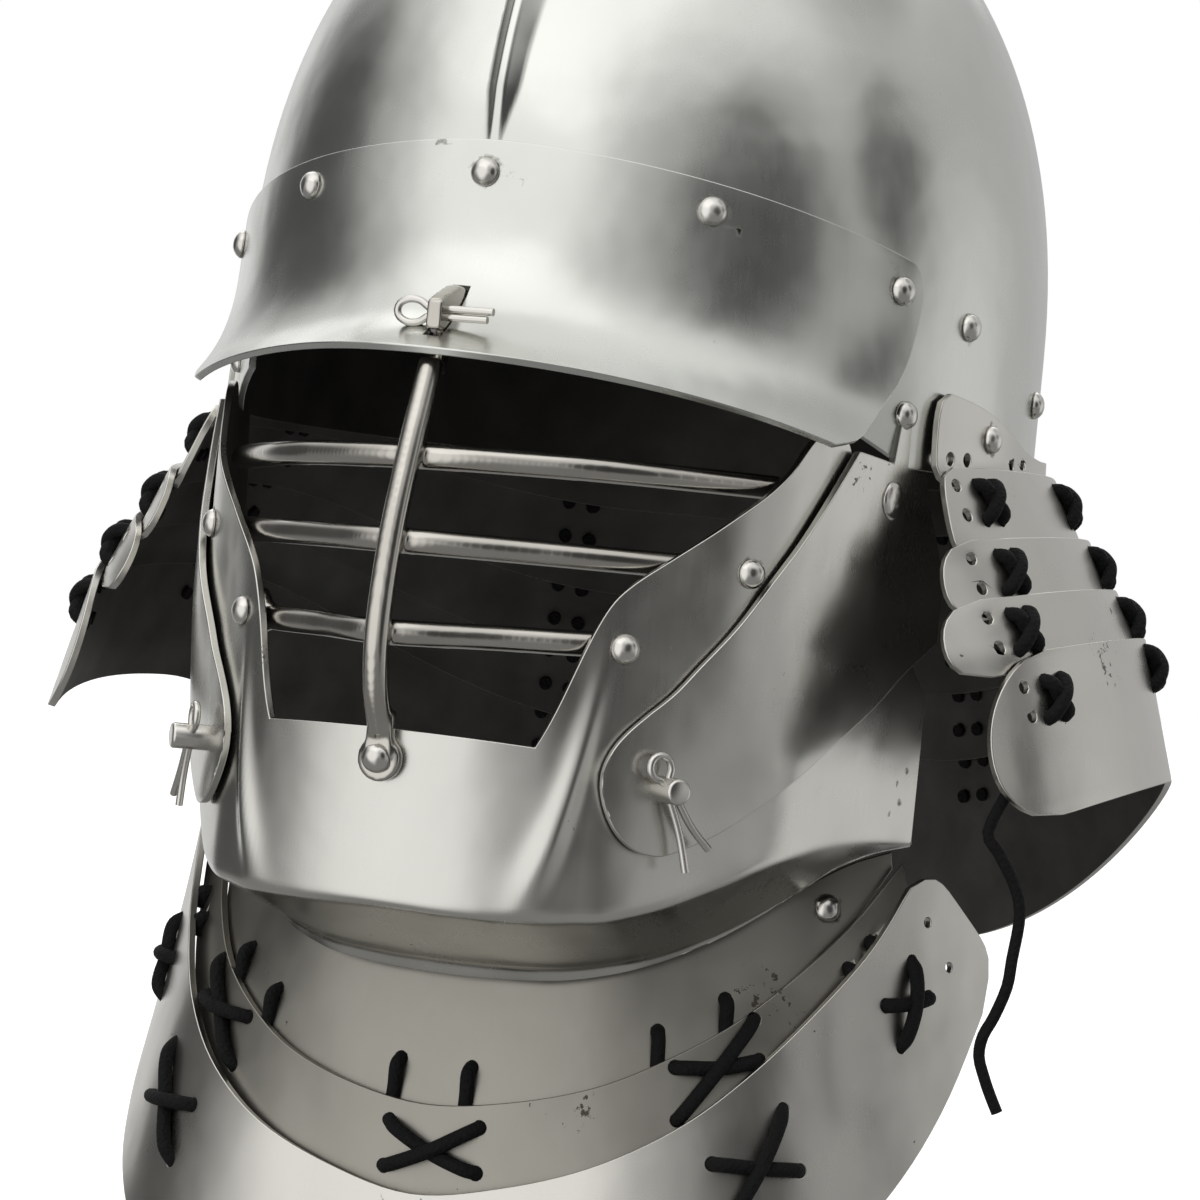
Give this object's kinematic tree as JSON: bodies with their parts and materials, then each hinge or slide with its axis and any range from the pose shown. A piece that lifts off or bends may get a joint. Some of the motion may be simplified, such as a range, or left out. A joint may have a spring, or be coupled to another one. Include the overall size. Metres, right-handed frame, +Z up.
{
  "type": "kabuto helmet with barred face guard",
  "caption": "Riveted steel kabuto helmet with a ridged skull, flared brow, barred face guard and cord-laced neck and throat lames.",
  "frame": {"origin": "the inside of the crown, straight above the middle of the skull, where the top of the wearer's head goes", "axes": "+Z up, the face towards -Y, +X towards the wearer's left"},
  "size_m": [0.302, 0.3084, 0.4195],
  "materials": {
    "plate_steel": "satin-polished mild steel plate, two millimetres thick, lightly worn",
    "bar_steel": "satin-polished round steel bar with welded joints",
    "fastener_steel": "bright domed rivets, plain studs and steel split pins",
    "black_cord": "round black braided cord"
  },
  "bodies": {
    "root": {"skull": "plate_steel", "brow_plate": "plate_steel", "face_plate": "plate_steel", "grille": "bar_steel", "side_plate_left": "plate_steel", "side_plate_right": "plate_steel", "neck_lame_1": "plate_steel", "neck_lame_2": "plate_steel", "neck_lame_3": "plate_steel", "neck_lame_4": "plate_steel", "neck_lame_5": "plate_steel", "throat_lame_1": "plate_steel", "throat_lame_2": "plate_steel", "throat_lame_3": "plate_steel", "rivet_brow_middle": "fastener_steel", "rivet_brow_front_left": "fastener_steel", "rivet_brow_front_right": "fastener_steel", "rivet_brow_rear_left": "fastener_steel", "rivet_brow_rear_right": "fastener_steel", "rivet_skull_front_left": "fastener_steel", "rivet_skull_front_right": "fastener_steel", "rivet_skull_rear_left": "fastener_steel", "rivet_skull_rear_right": "fastener_steel", "rivet_skull_side_left": "fastener_steel", "rivet_skull_side_right": "fastener_steel", "rivet_neck_left": "fastener_steel", "rivet_neck_right": "fastener_steel", "rivet_side_plate_left": "fastener_steel", "rivet_side_plate_right": "fastener_steel", "rivet_face_upper_left": "fastener_steel", "rivet_face_upper_right": "fastener_steel", "rivet_face_lower_left": "fastener_steel", "rivet_face_lower_right": "fastener_steel", "rivet_chin": "fastener_steel", "rivet_throat_left": "fastener_steel", "rivet_throat_right": "fastener_steel", "lock_stud_left": "fastener_steel", "cotter_pin_left": "fastener_steel", "lock_stud_right": "fastener_steel", "cotter_pin_right": "fastener_steel", "cotter_pin_top": "fastener_steel", "neck_lacing_left_front": "black_cord", "neck_lacing_left_side": "black_cord", "neck_lacing_left_back": "black_cord", "neck_lacing_right_back": "black_cord", "neck_lacing_right_side": "black_cord", "neck_lacing_right_front": "black_cord", "throat_lacing_right_rear": "black_cord", "throat_lacing_right": "black_cord", "throat_lacing_middle": "black_cord", "throat_lacing_left": "black_cord", "throat_lacing_left_rear": "black_cord", "lace_tail": "black_cord"}
  },
  "joints": []
}
